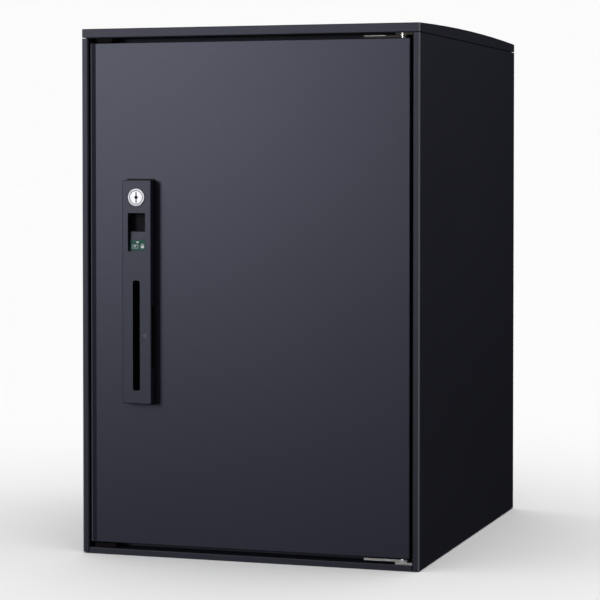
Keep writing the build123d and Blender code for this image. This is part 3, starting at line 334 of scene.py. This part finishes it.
# printed vinyl label under a satin laminate: sea green, with a soft mottled film
def labelVinyl():
    look = {"colour": "#3a625d", "mottle": "#44706a", "sheen": "#c8ecdf", "roughness": 0.5,
            "mottleMm": 1.11, "filmMm": 2.5}
    material, tree, shader, space = startMaterial("labelVinylGreen", {"IOR": 1.46,
                                                  "Specular IOR Level": 0.25,
                                                  "Specular Tint": linear(look["sheen"])})
    mottle = addNode(tree, "ShaderNodeTexNoise", {"Scale": 1 / (look["mottleMm"] * mm), "Detail": 2.0},
                     {"Vector": space})
    film = addNode(tree, "ShaderNodeTexNoise", {"Scale": 1 / (look["filmMm"] * mm), "Detail": 1.0},
                   {"Vector": space})
    tint = addNode(tree, "ShaderNodeMix", {"data_type": "RGBA", 6: linear(look["colour"]),
                   7: linear(look["mottle"])}, {0: mottle.outputs["Fac"]})
    rough = addNode(tree, "ShaderNodeMapRange", {"To Min": look["roughness"] - 0.05,
                    "To Max": look["roughness"] + 0.08}, {"Value": film.outputs["Fac"]})
    bump = addNode(tree, "ShaderNodeBump", {"Distance": 0.01 * mm}, {"Height": film.outputs["Fac"]})
    joinShader(tree, shader, tint.outputs[2], rough.outputs["Result"], bump.outputs["Normal"])
    return material


# screen ink: an opaque film a few hundredths of a millimetre thick, matt, with a slightly uneven lay
inkGrainMm = 0.67   # coarser than real ink, so that it shows


def screenInk(name, colour, worn, roughness):
    material, tree, shader, space = startMaterial(name, {"IOR": 1.5})
    lay = addNode(tree, "ShaderNodeTexNoise", {"Scale": 1 / (inkGrainMm * mm), "Detail": 3.0},
                  {"Vector": space})
    tint = addNode(tree, "ShaderNodeMix", {"data_type": "RGBA", 6: linear(worn),
                   7: linear(colour)}, {0: lay.outputs["Fac"]})
    rough = addNode(tree, "ShaderNodeMapRange", {"To Min": roughness - 0.05, "To Max": roughness + 0.1},
                    {"Value": lay.outputs["Fac"]})
    bump = addNode(tree, "ShaderNodeBump", {"Distance": 0.008 * mm}, {"Height": lay.outputs["Fac"]})
    joinShader(tree, shader, tint.outputs[2], rough.outputs["Result"], bump.outputs["Normal"])
    return material


finishes = {
    "black_powder_coat": powderCoat("powderCoatCabinet", cabinetCoat),
    "black_cast_bar": powderCoat("powderCoatCastBar", castCoat),
    "black_rubber": blackRubber(),
    "magnet": ferrite(),
    "black_moulding": mouldedPlastic("mouldedNylonBlack", mouldings),
    "stainless": brushedStainless("stainlessBrushed", leafSteel),
    "zinc_plate": zincPlate(),
    "painted_rivet": powderCoat("powderCoatRivets", rivetCoat),
    "chrome_lock": chromePlate("chromePlatedPlug", plugChrome),
    "green_label": labelVinyl(),
}
doorFinish = powderCoat("powderCoatDoor", doorCoat)
tileFinish = mouldedPlastic("mouldedTileGrey", tilePlastic)
whiteInk = screenInk("screenInkWhite", "#ffffff", "#eef2f0", 0.4)
greyInk = screenInk("screenInkGrey", "#5c5d66", "#4a4b54", 0.55)
ringFinish = chromePlate("chromePlatedRing", ringChrome)
paintedShadeFinish = powderCoat("powderCoatPaintedShade", paintedShadeCoat)
leafFinishShaded = brushedStainless("stainlessShadedLeaf", leafSteelShaded)
strikeFinish = mouldedPlastic("mouldedStrikeBlack", strikePlastic)
ownFinish = {
    "door_skin": doorFinish, "slider_tile": tileFinish, "lock_body": ringFinish,
    "header_rail": paintedShadeFinish, "ceiling_panel": paintedShadeFinish,
    "upper_door_leaf": leafFinishShaded, "upper_frame_leaf": leafFinishShaded,
    "lower_strike": strikeFinish, "upper_strike": strikeFinish,
}
for part in frame["record"]["subparts"]:
    node = nodes[part["node"]]
    node.data.materials.clear()
    node.data.materials.append(ownFinish.get(part["node"], finishes[part["material_slot"]]))
print("finishes given to", len(nodes), "CAD nodes")


# turns a finished bmesh into a piece on a body
def addPiece(name, bm, body, material):
    bmesh.ops.recalc_face_normals(bm, faces=bm.faces)
    mesh = bpy.data.meshes.new(name)
    bm.to_mesh(mesh)
    bm.free()
    mesh.materials.append(material)
    piece = bpy.data.objects.new(name, mesh)
    bpy.context.scene.collection.objects.link(piece)
    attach(piece, body)


# a flat outline lies in the XZ plane, facing -Y; this gives it its thickness and place
def raiseFlat(bm, thick, centre):
    grown = bmesh.ops.extrude_face_region(bm, geom=bm.faces[:])["geom"]
    raised = [v for v in grown if isinstance(v, bmesh.types.BMVert)]
    bmesh.ops.translate(bm, vec=(0, -thick, 0), verts=raised)
    bmesh.ops.translate(bm, vec=centre, verts=bm.verts)


def flatPolygon(bm, sides, across, tall, turn):
    made = bmesh.ops.create_circle(bm, cap_ends=True, segments=sides, radius=0.5)["verts"]
    bmesh.ops.rotate(bm, verts=made, matrix=Matrix.Rotation(turn, 3, "Z"))
    wide = max(v.co.x for v in made) - min(v.co.x for v in made)
    high = max(v.co.y for v in made) - min(v.co.y for v in made)
    bmesh.ops.scale(bm, vec=(across / wide, tall / high, 1), verts=made)
    bmesh.ops.rotate(bm, verts=made, matrix=Matrix.Rotation(radians(90), 3, "X"))


def flatBox(bm, across, tall, shift=(0, 0, 0)):
    made = bmesh.ops.create_grid(bm, x_segments=1, y_segments=1, size=0.5)["verts"]
    bmesh.ops.scale(bm, vec=(across, tall, 1), verts=made)
    bmesh.ops.translate(bm, vec=shift, verts=made)


# pictograms on the status label: a pointer, a parcel and a padlock, all generic
label = {
    "ink": 0.04,            # mm thick
    "pointer": (4.0, 2.5),  # mm wide and tall
    "pointerDrop": 2.6,     # mm from the label's top edge
    "parcel": (7.4, 3.8),
    "line": 0.6,            # width of the parcel's outline and of the shackle
    "tape": (1.5, 1.7),     # packing tape over the parcel's top edge
    "padlock": (3.8, 2.8),
    "padlockRound": 0.4,
    "shackle": 1.15,        # mm, radius at mid wire
    "leg": 0.7,             # straight part of the shackle
    "legLap": 0.2,          # share of the leg that runs on into the lock's body
    "pointerAcross": 0.47,  # places, as shares of the label's width and height
    "parcelAt": (0.31, 0.36),
    "padlockAt": (0.76, 0.33),
}


def labelMarks():
    low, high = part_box("status_label")
    face = low.y
    wide, tall = high.x - low.x, high.z - low.z
    ink = label["ink"] * mm
    line = label["line"] * mm

    pointer = bmesh.new()
    flatPolygon(pointer, 3, label["pointer"][0] * mm, label["pointer"][1] * mm, radians(180))
    raiseFlat(pointer, ink, (low.x + wide * label["pointerAcross"], face, high.z - label["pointerDrop"] * mm))
    addPiece("label_pointer", pointer, "slider", whiteInk)

    parcel = bmesh.new()
    boxWide, boxTall = (d * mm for d in label["parcel"])
    flatBox(parcel, boxWide, boxTall)
    sheet = parcel.faces[:]
    bmesh.ops.inset_individual(parcel, faces=sheet, thickness=line)
    bmesh.ops.delete(parcel, geom=sheet, context="FACES")
    tapeWide, tapeTall = (d * mm for d in label["tape"])
    flatBox(parcel, tapeWide, tapeTall, (0, (boxTall - tapeTall) / 2 - line, 0))
    bmesh.ops.rotate(parcel, verts=parcel.verts, matrix=Matrix.Rotation(radians(90), 3, "X"))
    across, up = label["parcelAt"]
    raiseFlat(parcel, ink, (low.x + wide * across, face, low.z + tall * up))
    addPiece("label_parcel", parcel, "slider", whiteInk)

    padlock = bmesh.new()
    lockWide, lockTall = (d * mm for d in label["padlock"])
    flatBox(padlock, lockWide, lockTall)
    bmesh.ops.bevel(padlock, geom=padlock.verts[:], offset=label["padlockRound"] * mm,
                    offset_type="OFFSET", segments=3, profile=0.5, affect="VERTICES", material=-1)
    shackle, leg = label["shackle"] * mm, label["leg"] * mm
    inside, outside = shackle - line / 2, shackle + line / 2
    root = lockTall / 2 + leg
    start = [padlock.verts.new((inside, root, 0)), padlock.verts.new((outside, root, 0))]
    stroke = padlock.edges.new(start)
    bmesh.ops.spin(padlock, geom=start + [stroke], cent=(0, root, 0), axis=(0, 0, 1), angle=pi, steps=12)
    for side in (-1, 1):
        flatBox(padlock, line, leg * (1 + label["legLap"]),
                (side * shackle, root - leg * (1 + label["legLap"]) / 2, 0))
    bmesh.ops.rotate(padlock, verts=padlock.verts, matrix=Matrix.Rotation(radians(90), 3, "X"))
    across, up = label["padlockAt"]
    raiseFlat(padlock, ink, (low.x + wide * across, face, low.z + tall * up))
    addPiece("label_padlock", padlock, "slider", whiteInk)


# pointer beside the slip slot, showing where the stamp strikes
slotMark = {"across": 7.0, "tall": 7.6, "proud": 0.12, "sunk": 0.02, "fromGuide": 4.6}   # all in mm


def slipMark():
    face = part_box("handle_bar")[0].y
    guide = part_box("slip_guide")
    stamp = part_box("stamp_cup")
    bm = bmesh.new()
    flatPolygon(bm, 3, slotMark["across"] * mm, slotMark["tall"] * mm, radians(90))
    place = (guide[1].x + slotMark["fromGuide"] * mm, face + slotMark["sunk"] * mm,
             (stamp[0].z + stamp[1].z) / 2)
    raiseFlat(bm, slotMark["proud"] * mm, place)
    addPiece("slip_pointer", bm, "door", greyInk)


# spring clip that keeps the upper hinge pin in, and the upset lip along the leaf's top edge; the lip is in
# the paler steel on the darker leaf, a painted highlight along that edge
hingeTrim = {"clip": (1.5, 1.0, 6.2), "clipBack": 0.25, "clipDrop": 0.1,
             "lip": (24.0, 0.5, 0.45), "lipProud": 0.1, "round": 0.15}   # all in mm


def smallBar(name, size, centre, body, material):
    bm = bmesh.new()
    bmesh.ops.create_cube(bm, size=1.0)
    bmesh.ops.scale(bm, vec=[d * mm for d in size], verts=bm.verts)
    bmesh.ops.bevel(bm, geom=bm.edges[:], offset=hingeTrim["round"] * mm, offset_type="OFFSET",
                    segments=3, profile=0.5, affect="EDGES", material=-1)
    bmesh.ops.translate(bm, vec=centre, verts=bm.verts)
    addPiece(name, bm, body, material)


def makeHingeTrim():
    leafLow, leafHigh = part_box("upper_door_leaf")
    pinLow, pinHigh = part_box("upper_hinge_pin")
    clip, lip = hingeTrim["clip"], hingeTrim["lip"]
    middle = ((pinLow.x + pinHigh.x) / 2, leafLow.y - (clip[1] / 2 - hingeTrim["clipBack"]) * mm,
              pinHigh.z - (clip[2] / 2 + hingeTrim["clipDrop"]) * mm)
    smallBar("upper_hinge_clip", clip, middle, "door", finishes["stainless"])
    along = (leafLow.x + lip[0] / 2 * mm, leafLow.y - hingeTrim["lipProud"] * mm,
             leafHigh.z - lip[2] / 2 * mm)
    smallBar("upper_leaf_lip", lip, along, "door", finishes["stainless"])


labelMarks()
slipMark()
makeHingeTrim()
print("marks and hinge trim made")

# soft studio light: a softbox left of the camera, a small lamp higher up and nearer to the locker, a lamp
# and a narrow strip for the right side, a wide weak front fill and two lamps behind, for the rear and
# the left side
stage = {
    "floorColour": "#f0f0f0",
    "floorHalf": 40,     # metres from the middle to an edge
    "backdrop": 0.967,   # what the camera sees past the floor
    "ambient": 0.012,    # what lights the locker from all round
    "softbox": {"place": (-1.3, -2.9, 0.9), "size": (0.8, 1.2), "power": 32.2},
    "highLeft": {"place": (-1.0, -1.3, 1.4), "size": (0.5, 0.5), "power": 2.8},
    "rightTop": {"place": (1.5, 0.2, 1.5), "size": (0.8, 0.8), "power": 12.7},
    "rightStrip": {"place": (2.4, -0.9, 0.5), "size": (0.15, 1.0), "power": 4.0},
    "frontFill": {"place": (0.6, -3.2, 1.0), "size": (2.0, 2.0), "power": 8.1},
    "rearLeft": {"place": (-1.5, 2.5, 1.6), "size": (1.0, 1.2), "power": 24.0},
    "rearFill": {"place": (-0.8, 3.0, 0.9), "size": (0.8, 1.0), "power": 10.0},
    "aim": (0, -0.2, 0.3),
    "floorSun": 3.45,    # lights the floor alone
    "sunSpread": 120,    # degrees, so that the locker's shadow on the floor is soft
}
lamps = ("softbox", "highLeft", "rightTop", "rightStrip", "frontFill", "rearLeft", "rearFill")


def makeFloor():
    bm = bmesh.new()
    bmesh.ops.create_grid(bm, x_segments=1, y_segments=1, size=stage["floorHalf"])
    mesh = bpy.data.meshes.new("floor")
    bm.to_mesh(mesh)
    bm.free()
    floor = bpy.data.objects.new("floor", mesh)
    bpy.context.scene.collection.objects.link(floor)
    pale = startMaterial("floorPale", {"Roughness": 0.9, "Specular IOR Level": 0.0,
                                       "Base Color": linear(stage["floorColour"])})[0]
    mesh.materials.append(pale)
    floor.visible_diffuse = False     # the floor throws no light on the locker
    floor.visible_glossy = False
    sun = bpy.data.lights.new("floorSun", "SUN")
    sun.energy = stage["floorSun"]
    sun.angle = radians(stage["sunSpread"])
    sunObject = bpy.data.objects.new("floorSun", sun)
    bpy.context.scene.collection.objects.link(sunObject)
    only = bpy.data.collections.new("floorOnly")
    only.objects.link(floor)
    sunObject.light_linking.receiver_collection = only
    return floor


def makeLights(floor):
    world = bpy.data.worlds.new("studio")
    world.use_nodes = True
    tree = world.node_tree
    ambient = tree.nodes["Background"]
    ambient.inputs["Color"].default_value = (1, 1, 1, 1)
    ambient.inputs["Strength"].default_value = stage["ambient"]
    seen = addNode(tree, "ShaderNodeBackground", {"Color": (1, 1, 1, 1), "Strength": stage["backdrop"]})
    ray = addNode(tree, "ShaderNodeLightPath")
    mix = addNode(tree, "ShaderNodeMixShader", None, {0: ray.outputs["Is Camera Ray"],
                  1: ambient.outputs[0], 2: seen.outputs[0]})
    tree.links.new(mix.outputs[0], tree.nodes["World Output"].inputs["Surface"])
    bpy.context.scene.world = world
    rest = bpy.data.collections.new("allButFloor")   # the lamps leave the floor to its own light
    rest.objects.link(floor)
    rest.collection_objects[0].light_linking.link_state = "EXCLUDE"
    for name in lamps:
        lamp = stage[name]
        light = bpy.data.lights.new(name, "AREA")
        light.shape = "RECTANGLE"
        light.size, light.size_y = lamp["size"]
        light.energy = lamp["power"]
        piece = bpy.data.objects.new(name, light)
        piece.location = lamp["place"]
        aim = Vector(stage["aim"]) - piece.location
        piece.rotation_euler = aim.to_track_quat("-Z", "Y").to_euler()
        piece.light_linking.receiver_collection = rest
        bpy.context.scene.collection.objects.link(piece)


makeLights(makeFloor())
bpy.context.scene.view_settings.view_transform = "Standard"
print("floor and lights made")
